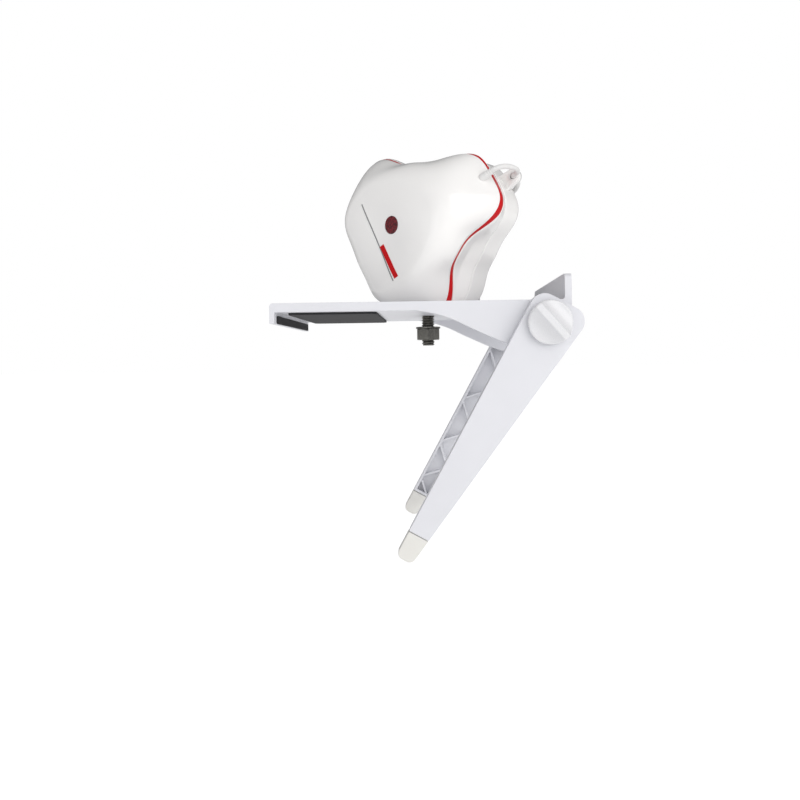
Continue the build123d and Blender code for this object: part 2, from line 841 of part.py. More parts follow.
with BuildPart() as plug_shell:
    with BuildSketch(PLUG.offset(shell_start)):
        RectangleRounded(shell_w, shell_t, 0.4)
    extrude(amount=18.0)
    with BuildSketch(PLUG.offset(cavity_start)):
        Rectangle(shell_w - 0.6, shell_t - 0.6)
    extrude(amount=18, mode=Mode.SUBTRACT)

save(plug_shell.part, "plug_shell")

with BuildPart() as plug_tongue:
    with BuildSketch(PLUG.offset(cavity_start + gap)):
        with Locations((0, tongue_plug_t / 2)):
            Rectangle(11.2, tongue_plug_t)
    extrude(amount=15.5)

save(plug_tongue.part, "plug_tongue")
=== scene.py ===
"""Three-lobed sensor head with a slide-off rear cap and USB cable, on a folding clamp bracket.

World frame: metres, +X right, -Y toward the camera, +Z up. Sizes here are millimetres, and
MM turns them into metres. The head has its own frame, turned about +Z: x across (right as
seen from the front), y up, z forward, with its origin at the height of the lens barrel.
"""
import bpy
import bmesh
import json
import math
import numpy as np
from mathutils import Matrix, Vector


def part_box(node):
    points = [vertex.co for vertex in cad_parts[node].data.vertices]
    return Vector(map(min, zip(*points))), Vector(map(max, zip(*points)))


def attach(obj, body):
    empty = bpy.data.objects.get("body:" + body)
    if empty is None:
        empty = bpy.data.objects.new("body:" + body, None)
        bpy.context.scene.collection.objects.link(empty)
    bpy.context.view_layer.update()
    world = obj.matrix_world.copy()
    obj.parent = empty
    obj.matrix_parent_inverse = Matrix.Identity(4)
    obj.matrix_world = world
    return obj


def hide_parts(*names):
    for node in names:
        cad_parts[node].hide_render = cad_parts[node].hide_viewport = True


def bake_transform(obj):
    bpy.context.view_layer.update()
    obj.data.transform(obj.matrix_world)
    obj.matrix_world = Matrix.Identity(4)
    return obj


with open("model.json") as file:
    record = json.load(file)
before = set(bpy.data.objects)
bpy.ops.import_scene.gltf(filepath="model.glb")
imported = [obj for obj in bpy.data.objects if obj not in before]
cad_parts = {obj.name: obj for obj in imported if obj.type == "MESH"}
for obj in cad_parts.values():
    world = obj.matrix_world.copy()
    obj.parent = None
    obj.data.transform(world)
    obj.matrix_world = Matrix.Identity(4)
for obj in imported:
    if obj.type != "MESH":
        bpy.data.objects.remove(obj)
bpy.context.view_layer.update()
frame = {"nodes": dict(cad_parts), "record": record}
MM = 0.001
PI = math.pi
RECORD = frame["record"]
JOINTS = {joint["name"]: joint for joint in RECORD["behaviour"]["joints"]}
SLOT_OF = {part["node"]: part["material_slot"] for part in RECORD["subparts"]}


# ------------------------------------------------------------------ head frame
def middle_of(node):
    low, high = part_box(node)
    return (np.array(low) + np.array(high)) * 500.0


SWIVEL_X, _, DECK_TOP = [1000.0 * value for value in JOINTS["head_swivel"]["pos_m"]]
PIVOT_X, _, PIVOT_Z = [1000.0 * value for value in JOINTS["leg_fold"]["pos_m"]]
SLIDE = JOINTS["cap_slide"]["axis"]
YAW = math.atan2(SLIDE[0], SLIDE[1])
CENTRE = np.array([SWIVEL_X, 0.0, middle_of("lens_barrel")[2]])
ACROSS = np.array([math.cos(YAW), -math.sin(YAW), 0.0])
UP = np.array([0.0, 0.0, 1.0])
FORWARD = np.array([-math.sin(YAW), -math.cos(YAW), 0.0])


def head_point(x, y, z):
    """World position in mm of a point, or of arrays of points, in the head frame."""
    x, y, z = (np.asarray(value, float)[..., None] for value in (x, y, z))
    return CENTRE + x * ACROSS + y * UP + z * FORWARD


def polar_point(radius, degrees, z):
    angle = math.radians(degrees)
    return head_point(radius * math.cos(angle), radius * math.sin(angle), z)


def head_matrix(x, y, z):
    """The head frame moved to a point, in metres."""
    matrix = Matrix.Identity(4)
    columns = (ACROSS, UP, FORWARD, head_point(x, y, z) * MM)
    for i in range(3):
        for j, column in enumerate(columns):
            matrix[i][j] = column[i]
    return matrix


# ------------------------------------------------------------------ materials
MAT = {}


def add_node(tree, kind, inputs=None, **settings):
    node = tree.nodes.new("ShaderNode" + kind)
    for key, value in settings.items():
        setattr(node, key, value)
    for socket, value in (inputs or {}).items():
        node.inputs[socket].default_value = value
    return node


def new_material(name, **inputs):
    """Node tree and main shader; inputs are named like the sockets, with _ for a space."""
    material = bpy.data.materials.new(name)
    material.use_nodes = True
    MAT[name] = material
    shader = material.node_tree.nodes["Principled BSDF"]
    for key, value in inputs.items():
        shader.inputs[key.replace("_", " ")].default_value = value
    return material.node_tree, shader


def noise(tree, vector, scale, detail=2.0):
    node = add_node(tree, "TexNoise", {"Scale": scale, "Detail": detail})
    tree.links.new(vector, node.inputs["Vector"])
    return node.outputs["Fac"]


def map_range(tree, source, low, high, start=0.0, stop=1.0, curve="LINEAR"):
    """Maps start..stop of the source to low..high."""
    inputs = {"From Min": start, "From Max": stop, "To Min": low, "To Max": high}
    node = add_node(tree, "MapRange", inputs, interpolation_type=curve)
    tree.links.new(source, node.inputs["Value"])
    return node.outputs["Result"]


def tint(tree, shader, color, factor):
    node = add_node(tree, "VectorMath", {0: color}, operation="SCALE")
    tree.links.new(factor, node.inputs["Scale"])
    tree.links.new(node.outputs["Vector"], shader.inputs["Base Color"])


def relief(tree, shader, height, strength, distance):
    node = add_node(tree, "Bump", {"Strength": strength, "Distance": distance})
    tree.links.new(height, node.inputs["Height"])
    tree.links.new(node.outputs["Normal"], shader.inputs["Normal"])


def moulded(name, color, rough=0.35, rough_var=0.06, grain=2600.0, bump=0.03, coat=0.0,
            coat_rough=0.05, tone=0.02, spec=0.5, trans=0.0, ior=1.46):
    """Moulded surface: broad tone drift, fine grain in roughness and bump."""
    tree, shader = new_material(
        name, Coat_Weight=coat, Coat_Roughness=coat_rough, Specular_IOR_Level=spec,
        IOR=ior, Transmission_Weight=trans)
    place = add_node(tree, "TexCoord").outputs["Object"]
    drift = noise(tree, place, scale=38.0, detail=3.0)
    fine = noise(tree, place, scale=grain, detail=4.0)
    shade = map_range(tree, drift, low=1.0 - tone, high=1.0, start=0.3, stop=0.7)
    tint(tree, shader, color, shade)
    gloss = map_range(tree, fine, low=max(0.02, rough - rough_var), high=rough + rough_var,
                      start=0.25, stop=0.75)
    tree.links.new(gloss, shader.inputs["Roughness"])
    relief(tree, shader, fine, strength=bump, distance=0.00008)


def brushed(name, color, rough):
    """Metal with fine lines drawn out along Z."""
    tree, shader = new_material(name, Metallic=1.0)
    place = add_node(tree, "TexCoord").outputs["Object"]
    stretch = add_node(tree, "Mapping", {"Scale": (1, 1, 0.02)})
    tree.links.new(place, stretch.inputs["Vector"])
    lines = noise(tree, stretch.outputs["Vector"], scale=5200.0, detail=3.0)
    patches = noise(tree, place, scale=300.0)
    gloss = map_range(tree, lines, low=rough * 0.6, high=rough * 1.5)
    tree.links.new(gloss, shader.inputs["Roughness"])
    tint(tree, shader, color, map_range(tree, patches, low=0.8, high=1.1))
    relief(tree, shader, lines, strength=0.12, distance=0.00005)


def tinted_window(name):
    """Dark red cover with a fine cell pattern under a polished skin."""
    tree, shader = new_material(name, Roughness=0.3, Specular_IOR_Level=0.25,
                                Coat_Weight=0.35, Coat_Roughness=0.04)
    place = add_node(tree, "TexCoord").outputs["Object"]
    cells = add_node(tree, "TexVoronoi", {"Scale": 1050.0})
    tree.links.new(place, cells.inputs["Vector"])
    ramp = add_node(tree, "ValToRGB")
    stops = ((0.28, (0.20, 0.010, 0.018, 1)), (0.75, (0.055, 0.003, 0.006, 1)))
    for element, (position, color) in zip(ramp.color_ramp.elements, stops):
        element.position = position
        element.color = color
    tree.links.new(cells.outputs["Distance"], ramp.inputs["Fac"])
    tree.links.new(ramp.outputs["Color"], shader.inputs["Base Color"])
    relief(tree, shader, cells.outputs["Distance"], strength=0.35, distance=0.0001)


moulded("bracket_white", (0.76, 0.765, 0.80), rough=0.36, rough_var=0.05, grain=3200,
        bump=0.10, tone=0.03, coat=0.12, coat_rough=0.25)
moulded("foot_cream", (0.80, 0.79, 0.75), rough=0.62, rough_var=0.08, bump=0.25, tone=0.05,
        spec=0.3)
moulded("pad_black", (0.028, 0.028, 0.030), rough=0.7, rough_var=0.08, grain=1800, bump=0.5,
        tone=0.2, spec=0.3)
moulded("knob_white", (0.78, 0.782, 0.80), rough=0.27, rough_var=0.05, grain=3000, bump=0.06,
        coat=0.3, coat_rough=0.12)
brushed("steel_dark", (0.17, 0.165, 0.15), rough=0.27)
brushed("steel_bright", (0.62, 0.61, 0.60), rough=0.25)
moulded("washer_black", (0.03, 0.03, 0.03), rough=0.45, bump=0.1)
moulded("shell_white", (0.93, 0.92, 0.905), rough=0.17, rough_var=0.03, grain=2400,
        bump=0.015, tone=0.012, coat=0.55)
moulded("trim_red", (0.60, 0.002, 0.006), rough_var=0.04, grain=1800, tone=0.18, spec=0.22)
moulded("inner_black", (0.018, 0.018, 0.020), rough=0.6, bump=0.2, tone=0.1)
moulded("foam_black", (0.03, 0.03, 0.033), rough=0.9, rough_var=0.05, grain=1500, bump=1.0,
        tone=0.4, spec=0.1)
tinted_window("window_red")
moulded("optic_clear", (0.80, 0.86, 0.90), rough=0.04, rough_var=0.02, bump=0.0, trans=0.85,
        coat=0.8, ior=1.5)
moulded("diffuser_white", (0.85, 0.85, 0.83), rough=0.5, bump=0.05)
moulded("board_green", (0.012, 0.13, 0.05), bump=0.3, grain=900, tone=0.35)
moulded("chip_black", (0.02, 0.02, 0.02), rough=0.5, bump=0.2)
brushed("brass", (0.66, 0.44, 0.14), rough=0.28)
moulded("cable_white", (0.80, 0.795, 0.785), rough=0.42, rough_var=0.05, grain=2200,
        bump=0.06, tone=0.03)
moulded("tongue_white", (0.80, 0.80, 0.80), rough=0.45, bump=0.05)
moulded("mark_grey", (0.22, 0.22, 0.23), bump=0.02, tone=0.1)

for node_name, cad_node in frame["nodes"].items():
    cad_node.data.materials.clear()
    cad_node.data.materials.append(MAT[SLOT_OF[node_name]])


# ------------------------------------------------------------------ mesh helpers
def mix(first, last, t):
    return first * (1 - t) + last * t


def smoothstep(t):
    return t * t * (3 - 2 * t)


def turn(count):
    """Angles of one full turn."""
    return np.linspace(0, 2 * PI, count, endpoint=False)


def circle(radius, z, angle, x=0.0, y=0.0):
    """Ring of points about (x, y); radius and z may vary with the angle."""
    return np.stack([x + radius * np.cos(angle), y + radius * np.sin(angle),
                     np.zeros(len(angle)) + z], 1)


def sharpen(ob, degrees):
    """Marks edges sharper than the angle, so flat faces stay flat under smooth shading."""
    mesh = bmesh.new()
    mesh.from_mesh(ob.data)
    limit = math.radians(degrees)
    for edge in mesh.edges:
        if len(edge.link_faces) == 2:
            edge.smooth = edge.calc_face_angle(0) < limit
    mesh.to_mesh(ob.data)
    mesh.free()


def mesh_piece(name, points, faces, mat, body, replaces=None, sharp=None):
    data = bpy.data.meshes.new(name)
    data.from_pydata([tuple(point) for point in np.asarray(points) * MM], [], faces)
    mesh = bmesh.new()
    mesh.from_mesh(data)
    bmesh.ops.remove_doubles(mesh, verts=mesh.verts, dist=2e-7)
    bmesh.ops.recalc_face_normals(mesh, faces=mesh.faces)
    mesh.to_mesh(data)
    mesh.free()
    data.polygons.foreach_set("use_smooth", [True] * len(data.polygons))
    data.materials.append(MAT[mat])
    ob = bpy.data.objects.new(name, data)
    bpy.context.scene.collection.objects.link(ob)
    if replaces:
        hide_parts(replaces)
    if body:
        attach(ob, body)
    if sharp:
        sharpen(ob, sharp)
    return ob


def ring_piece(name, rings, mat, body, replaces=None, sharp=None, closed=True):
    """Quads between rings of equal count.

    Closed joins the last ring to the first; otherwise a fan of triangles fills each end.
    """
    count = len(rings[0])
    points = np.vstack(rings)
    faces = []
    for i in range(len(rings) if closed else len(rings) - 1):
        here = i * count
        there = (i + 1) % len(rings) * count
        for j in range(count):
            k = (j + 1) % count
            faces.append((here + j, here + k, there + k, there + j))
    if not closed:
        hub = len(points)
        last = hub - count
        points = np.vstack([points, rings[0].mean(0), rings[-1].mean(0)])
        faces += [(hub, (j + 1) % count, j) for j in range(count)]
        faces += [(hub + 1, last + j, last + (j + 1) % count) for j in range(count)]
    return mesh_piece(name, points, faces, mat, body, replaces, sharp=sharp)


def head_rings(rings):
    return [head_point(*ring.T) for ring in rings]


def revolve(name, profile, origin, axis, mat, body, replaces=None, count=96, sharp=35):
    """Closed profile of (radius, height) points turned about an axis."""
    axis = np.asarray(axis, float) / np.linalg.norm(axis)
    side = np.cross(axis, [0.31, 0.27, 0.91])
    side /= np.linalg.norm(side)
    frame_axes = np.array([side, np.cross(axis, side), axis])
    rings = [np.asarray(origin) + circle(radius, height, turn(count)) @ frame_axes
             for radius, height in profile]
    return ring_piece(name, rings, mat, body, replaces, sharp)


def rounded(profile, radius, steps):
    """Rounds the corners of a closed (radius, height) profile."""
    corners = [np.array(point, float) for point in profile]
    out = []
    for i, corner in enumerate(corners):
        before = corners[i - 1] - corner
        after = corners[(i + 1) % len(corners)] - corner
        before_len, after_len = np.linalg.norm(before), np.linalg.norm(after)
        cut = min(radius, 0.45 * before_len, 0.45 * after_len)
        start = corner + before / before_len * cut
        end = corner + after / after_len * cut
        for t in np.linspace(0, 1, steps + 1):
            out.append((1 - t) ** 2 * start + 2 * t * (1 - t) * corner + t * t * end)
    return out


def apply_modifiers(ob):
    graph = bpy.context.evaluated_depsgraph_get()
    data = bpy.data.meshes.new_from_object(
        ob.evaluated_get(graph), preserve_all_data_layers=True, depsgraph=graph)
    old = ob.data
    ob.modifiers.clear()
    ob.data = data
    bpy.data.meshes.remove(old)


def cut_away(ob, cutters, sharp):
    """Takes the cutters out of the object and marks its sharp edges."""
    for cutter in cutters:
        modifier = ob.modifiers.new("cut", "BOOLEAN")
        modifier.operation = "DIFFERENCE"
        modifier.solver = "EXACT"
        modifier.object = cutter
    bpy.context.view_layer.update()
    apply_modifiers(ob)
    for cutter in cutters:
        bpy.data.objects.remove(cutter)
    sharpen(ob, sharp)


def bevel_copy(node, name, width, body, segments):
    """The CAD node's own shape with every sharp edge given a small moulded radius."""
    data = frame["nodes"][node].data.copy()
    data.name = name
    mesh = bmesh.new()
    mesh.from_mesh(data)
    bmesh.ops.remove_doubles(mesh, verts=mesh.verts, dist=2e-6)
    bmesh.ops.dissolve_limit(mesh, angle_limit=math.radians(1.2), verts=mesh.verts,
                             edges=mesh.edges)
    bmesh.ops.recalc_face_normals(mesh, faces=mesh.faces)
    mesh.to_mesh(data)
    mesh.free()
    data.polygons.foreach_set("use_smooth", [True] * len(data.polygons))
    ob = bpy.data.objects.new(name, data)
    bpy.context.scene.collection.objects.link(ob)
    bevel = ob.modifiers.new("edge", "BEVEL")
    bevel.width = width * MM
    bevel.segments = segments
    bevel.limit_method = "ANGLE"
    bevel.angle_limit = math.radians(30.0)
    bevel.use_clamp_overlap = True
    bevel.miter_outer = "MITER_ARC"
    normals = ob.modifiers.new("normals", "WEIGHTED_NORMAL")
    normals.keep_sharp = True
    normals.weight = 50
    apply_modifiers(ob)
    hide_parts(node)
    ob.data.materials.clear()
    ob.data.materials.append(MAT[SLOT_OF[node]])
    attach(ob, body)


# ------------------------------------------------------------------ head: outline
COUNT = 240                     # points round every section of the head
ANGLE = turn(COUNT)
LOBES = 3 * (ANGLE - PI / 6)    # a multiple of 2 pi at each of the three lobe tips
BASIS = np.stack([np.ones(COUNT), np.cos(LOBES), np.cos(2 * LOBES), np.cos(3 * LOBES)])
# section radius: mean, then the amplitudes of 3, 6 and 9 waves a turn
SEAM = np.array([37.37, 8.21, -1.35, -1.14])     # at the lobes' seam
MIDDLE = np.array([33.85, 4.4, 0.0, -0.6])       # between the seam and the front rim
FRONT = np.array([35.0, 3.63, -0.43, -0.45])     # at the front rim
REAR = np.array([36.75, 5.58, -0.31, -0.78])     # where the cap begins
CAP = np.array([36.5, 5.12, -0.57, -0.87])       # at the cap's back

Z_FRONT, Z_SEAM, Z_PART, Z_REAR, Z_CAP = 25.9, 3.04, -5.0, -5.243, -19.6
BASE_DROP = CENTRE[2] - DECK_TOP - 0.05          # flat base below the centre
WALL = 2.4                                       # shell thickness
FILLET = 5.2
ROLL = -0.053                                    # turn of the section, radians
TILT_X = 0.10                                    # forward slope of the front across x
FRONT_SHIFT = (-0.47, -4.33)                     # x, y drift of the front rim
WALL_DRIFT = (-0.087, -0.075)                    # x, y drift per mm of depth
FOOT_REAR, FOOT_SEAM, SHOULDER_SEAM = 3.56, -0.98, 2.79   # heights of the local swells


def swell(centre, width):
    """Bell-shaped weight round one direction."""
    away = (ANGLE - centre + PI) % (2 * PI) - PI
    return np.exp(-(away / width) ** 2)


FOOT = swell(math.radians(300), 0.26) + swell(math.radians(240), 0.26)
SHOULDER = swell(2.141, 0.3)

# 0: a tight rim at the lower left, 1: one dome down to the seam
RIM_AWAY = np.abs((ANGLE - math.radians(205) + PI) % (2 * PI) - PI)
SOFT = smoothstep(np.clip((RIM_AWAY - math.radians(35)) / math.radians(70), 0, 1))
TIP = (1 + np.cos(LOBES)) / 2                    # 1 on the lobe tips, 0 in the flanks
LINE_Z = Z_SEAM + 11.56 * (1 - np.cos(LOBES)) / 2 - 1.35 * (1 - np.cos(2 * LOBES)) / 2
WALL_HEIGHT = Z_FRONT - FILLET - Z_SEAM
WALL_END = (1 - SOFT) + SOFT * (LINE_Z + 1.2 - Z_SEAM) / WALL_HEIGHT
DOME_HEIGHT = Z_FRONT - Z_SEAM - WALL_HEIGHT * WALL_END
DOME_INSET = DOME_HEIGHT * (1.0 + 0.05 * SOFT + 0.16 * SOFT * TIP)
DOME_EASE = 0.12 + 0.38 * SOFT + 0.25 * SOFT * TIP
RIM_EXTRA = 0.42 * (DOME_HEIGHT - FILLET) * (1 - SOFT)
RIM_END = math.radians(84)                       # dome angle where the crown takes over
DOME_CENTRE = np.array([-2.0, -2.0])
# slope of the crown where it leaves the dome
CROWN_SLOPE = DOME_HEIGHT * math.cos(RIM_END) / (DOME_INSET * 0.85)

# edges of the red band, arching forward between the lobes
ARCH = 0.35 + LINE_Z + 0.9 * swell(math.radians(52), 0.4)
BAND_BACK = ARCH - (2.8 + 2.9 * TIP ** 2.2)

WINDOW_OFFSET = middle_of("ambient_window") - CENTRE
WINDOW_X = float(WINDOW_OFFSET @ ACROSS)
WINDOW_Y = float(WINDOW_OFFSET @ UP)
WINDOW_Z = float(WINDOW_OFFSET @ FORWARD) + 1.6
SEAT_X, SEAT_Y = 0.20, 0.07                      # slopes of the window's seat


def rolled(radius, dx=0.0, dy=0.0):
    x = radius * np.cos(ANGLE) + dx
    y = radius * np.sin(ANGLE) + dy
    cos_roll, sin_roll = math.cos(ROLL), math.sin(ROLL)
    return x * cos_roll - y * sin_roll, x * sin_roll + y * cos_roll


def floored(y, softness=0.45):
    """Rounds the section into the flat base."""
    lift = (y + BASE_DROP) / softness
    soft_lift = np.where(lift > 30, lift, np.log1p(np.exp(np.minimum(lift, 30))))
    return -BASE_DROP + softness * soft_lift


def wall_row(z):
    """Side wall between the cap's back and the seam."""
    if z >= Z_PART:
        t = (z - Z_REAR) / (Z_SEAM - Z_REAR)
        waves, foot, shoulder = mix(REAR, SEAM, t), mix(FOOT_REAR, FOOT_SEAM, t), SHOULDER_SEAM * t
    else:
        t = (z - Z_REAR) / (Z_CAP - Z_REAR)
        waves, foot, shoulder = mix(REAR, CAP, t), FOOT_REAR, 0.0
    x, y = rolled(waves @ BASIS + foot * FOOT + shoulder * SHOULDER)
    x = x + WALL_DRIFT[0] * (z - Z_SEAM)
    y = y + WALL_DRIFT[1] * (z - Z_SEAM)
    return np.stack([x, floored(y), np.full(COUNT, float(z))], 1)


def front_row(t):
    """Side wall in front of the seam, t from 0 to 1 up to where the dome takes over."""
    rise = np.sin(t * math.radians(86)) * WALL_END
    close = (1 - np.sqrt(1 - rise * rise)) ** 0.8
    waves = mix(mix(SEAM[:, None], MIDDLE[:, None], rise), FRONT[:, None], close)
    swells = FOOT_SEAM * FOOT + SHOULDER_SEAM * SHOULDER
    radius = (waves * BASIS).sum(0) + (1 - close) * swells + RIM_EXTRA * close
    x, y = rolled(radius, FRONT_SHIFT[0] * rise ** 3, FRONT_SHIFT[1] * rise ** 3)
    return np.stack([x, floored(y), Z_SEAM + WALL_HEIGHT * rise + rise * TILT_X * x], 1)


def unit_rows(rows):
    return rows / np.linalg.norm(rows, axis=1)[:, None]


def inward(row):
    """Unit (x, y) direction into the body for each point of a section."""
    along = np.roll(row[:, :2], -1, 0) - np.roll(row[:, :2], 1, 0)
    normal = np.stack([-along[:, 1], along[:, 0]], 1)
    normal /= np.maximum(np.linalg.norm(normal, axis=1), 1e-9)[:, None]
    for _ in range(3):
        normal = (np.roll(normal, 1, 0) + normal * 2 + np.roll(normal, -1, 0)) / 4
    return unit_rows(normal)


def build_surface():
    """Sections of the outer skin from the parting line to the front rim."""
    rows = [wall_row(z) for z in np.linspace(Z_PART - 0.2, Z_SEAM, 18)]
    rows += [front_row(t) for t in np.linspace(0.02, 1.0, 30)]
    last = rows[-1]
    rest = 1 - WALL_END
    to_centre = unit_rows(DOME_CENTRE - last[:, :2])
    inner = unit_rows(mix(inward(last), to_centre, np.clip(SOFT * 1.6, 0, 1)[:, None]))
    calmed = np.clip(SOFT * 1.5, 0, 1)[:, None]
    for angle in np.linspace(0, RIM_END, 27)[1:]:
        rise = math.sin(angle)
        inset = DOME_INSET * mix(1 - math.cos(angle), angle / (PI / 2), DOME_EASE)
        row = last.copy()
        row[:, 0] += inner[:, 0] * inset + FRONT_SHIFT[0] * rest * rise
        row[:, 1] += inner[:, 1] * inset + FRONT_SHIFT[1] * rest * rise
        row[:, 1] = floored(row[:, 1])
        row[:, 2] += DOME_HEIGHT * rise + rest * rise * TILT_X * row[:, 0]
        # the higher waves fade out toward the rim
        keep = 1 - 0.92 * smoothstep(min(1.0, angle / RIM_END / 0.85))
        waves = np.fft.rfft(row, axis=0)
        waves[3:] *= keep
        waves[8:] *= keep
        rows.append(mix(row, np.fft.irfft(waves, COUNT, axis=0), calmed))
    return np.array(rows)


SURFACE = build_surface()
LAST_ROW = len(SURFACE) - 1.001


def at_index(index):
    """Surface points at a (fractional) row index for every point of the outline."""
    index = np.clip(np.broadcast_to(np.asarray(index, float), (COUNT,)), 0, LAST_ROW)
    row, column = index.astype(int), np.arange(COUNT)
    return mix(SURFACE[row, column], SURFACE[row + 1, column], (index - row)[:, None])


def index_of(z):
    """Row index at which the skin reaches depth z, for every point of the outline."""
    z = np.broadcast_to(z, (COUNT,))
    steps = np.arange(len(SURFACE))
    return np.array([np.interp(z[j], SURFACE[:, j, 2], steps) for j in range(COUNT)])


def at_depth(z, inset=0.0):
    ring = at_index(index_of(z))
    ring[:, :2] += inward(ring) * inset
    ring[:, 2] = z
    return ring


def disc(radius, z):
    return circle(radius, z, ANGLE)


def window_ring(radius, dz):
    ring = circle(radius, 0.0, ANGLE, WINDOW_X, WINDOW_Y)
    ring[:, 2] = (WINDOW_Z + dz + SEAT_X * (ring[:, 0] - WINDOW_X)
                  + SEAT_Y * (ring[:, 1] - WINDOW_Y))
    return ring


# ------------------------------------------------------------------ head: shells
def crown(outer, steps):
    """Softly domed skin from the front rim in to the window's edge."""
    hole = window_ring(4.45, 0.0)
    step = hole[:, :2] - outer[:, :2]
    start_slope = CROWN_SLOPE * np.linalg.norm(step, axis=1) + TILT_X * step[:, 0]
    end_slope = SEAT_X * step[:, 0] + SEAT_Y * step[:, 1]
    rings = []
    for i in range(1, steps + 1):
        t = i / steps
        z = ((2 * t ** 3 - 3 * t ** 2 + 1) * outer[:, 2] + (t ** 3 - 2 * t ** 2 + t) * start_slope
             + (-2 * t ** 3 + 3 * t ** 2) * hole[:, 2] + (t ** 3 - t ** 2) * end_slope)
        rings.append(np.column_stack([outer[:, :2] + step * t, z]))
    return rings


def build_front_shell():
    # rolled rear edge: (forward of the arch, inset)
    edge = ((0.06, 1.3), (0.0, 0.85), (0.0, 0.45), (0.06, 0.2), (0.2, 0.06))
    rings = [at_depth(ARCH + dz, inset) for dz, inset in edge]
    start = index_of(ARCH + 0.4)
    rings += [at_index(mix(start, LAST_ROW, t)) for t in np.linspace(0, 1, 44)]
    rim = rings[-1]
    rings += crown(rim, 26)
    # seat of the window: (radius, offset from the seat plane)
    seat = ((4.33, -0.03), (4.26, -0.12), (4.25, -0.5), (4.25, -1.4), (3.4, -1.4), (3.4, -2.6))
    rings += [window_ring(radius, dz) for radius, dz in seat]
    # inside skin, from the window back to the edge
    rings += [ring - (0, 0, WALL) for ring in reversed(crown(rim, 8)[:-1])]
    for t in np.linspace(1, 0, 12):
        ring = at_index(mix(start, LAST_ROW - 10, t))
        ring[:, :2] += inward(ring) * WALL
        ring[:, 2] -= WALL * 0.6 * t
        rings.append(ring)
    rings.append(at_depth(ARCH + 0.06, WALL))
    return ring_piece("front_shell_moulding", head_rings(rings), "shell_white", "head",
                      "front_shell", sharp=55)


def build_band():
    front, back = ARCH - 0.06, BAND_BACK + 0.06
    edge = ((0.0, 1.6), (0.0, 0.5), (0.1, 0.32), (0.25, 0.22))     # (in from the edge, inset)
    rings = [at_depth(back + dz, inset) for dz, inset in edge]
    rings += [at_depth(mix(back, front, t), 0.2) for t in np.linspace(0.15, 0.85, 7)]
    rings += [at_depth(front - dz, inset) for dz, inset in reversed(edge)]
    ring_piece("red_trim_band_moulding", head_rings(rings), "trim_red", "head",
               "red_trim_band")


LOBE_DEGREES = 27.0             # direction of the lobe that carries the cable
SCREWS = [(25.0 * math.cos(math.radians(angle)), 25.0 * math.sin(math.radians(angle)))
          for angle in (LOBE_DEGREES, LOBE_DEGREES + 120)] + [(0.0, -20.0)]


def build_rear_shell():
    edge = ((0.0, 2.3), (0.0, 0.9), (0.0, 0.45), (0.06, 0.2), (0.2, 0.06))
    rings = [at_depth(BAND_BACK - dz, inset) for dz, inset in edge]
    rings += [at_depth(mix(BAND_BACK - 0.2, Z_PART + 0.45, t)) for t in np.linspace(0.08, 0.93, 14)]
    edge = ((0.42, 0.03), (0.2, 0.1), (0.06, 0.28), (0.0, 0.6))
    rings += [at_depth(Z_PART + dz, inset) for dz, inset in edge]
    # flat back, the hole in it, and the inside
    rim = rings[-1]
    rings += [mix(rim, disc(11.45, Z_PART), t) for t in np.linspace(0, 1, 9)[1:]]
    hole = ((11.25, 0.05), (11.12, 0.2), (11.1, 1.0), (11.1, 1.95), (11.35, 2.0))
    rings += [disc(radius, Z_PART + dz) for radius, dz in hole]
    inner_z = Z_PART + 2.0
    inner = at_depth(inner_z, WALL)
    rings += [mix(disc(11.5, inner_z), inner, t) for t in np.linspace(0, 1, 5)]
    rings += [at_depth(mix(inner_z, BAND_BACK, t), WALL) for t in (0.3, 0.6, 0.9)]
    ob = ring_piece("rear_shell_moulding", head_rings(rings), "shell_white", "head",
                    "rear_shell")
    cutters = []
    for x, y in SCREWS:
        bpy.ops.mesh.primitive_cylinder_add(vertices=40, radius=2.35 * MM, depth=3.6 * MM)
        bpy.context.object.matrix_world = head_matrix(x, y, Z_PART)
        cutters.append(bpy.context.object)
    cut_away(ob, cutters, sharp=50)


def cap_row(z, inset):
    ring = wall_row(max(z, Z_CAP))
    ring[:, 2] = z
    ring[:, :2] += inward(ring) * inset
    return ring


def build_cap():
    back_z, round_radius = -18.3, 4.2
    edge_z = Z_PART - 0.12
    base = cap_row(back_z, 0.0)
    inner = inward(base)
    rounding = []
    for angle in np.radians(np.linspace(8, 82, 11)[::-1]):
        ring = base.copy()
        ring[:, :2] += inner * round_radius * (1 - math.cos(angle))
        ring[:, 2] = back_z - round_radius * math.sin(angle)
        rounding.append(ring)
    rings = []
    for scale in (0.04, 0.25, 0.5, 0.75, 0.92):
        bulge = 0.55 * (1 - scale * scale)
        rings.append(rounding[0] * (scale, scale, 1) - (0, 0, bulge))
    rings += rounding
    # (z, inset): outer wall forward, over the edge, then back along the inside
    wall = (
        (back_z, 0.0), (-16.5, 0.0), (-14.0, 0.0), (-11.0, 0.0), (-8.5, 0.0), (-6.6, 0.0),
        (edge_z - 0.42, 0.03), (edge_z - 0.2, 0.1), (edge_z - 0.06, 0.28), (edge_z, 0.6),
        (edge_z, 1.6), (edge_z - 0.2, 2.3), (edge_z - 1.0, 2.5), (-9.0, 2.6), (-13.0, 2.6),
        (-16.6, 2.8), (-18.6, 3.8), (-19.7, 5.6), (-20.1, 7.6))
    rings += [cap_row(z, inset) for z, inset in wall]
    floor_ring = rings[-1]
    rings += [floor_ring * (scale, scale, 1) for scale in (0.8, 0.5, 0.25, 0.04)]
    ring_piece("cap_shell_moulding", head_rings(rings), "shell_white", "lens_cap",
               "cap_shell", closed=False)


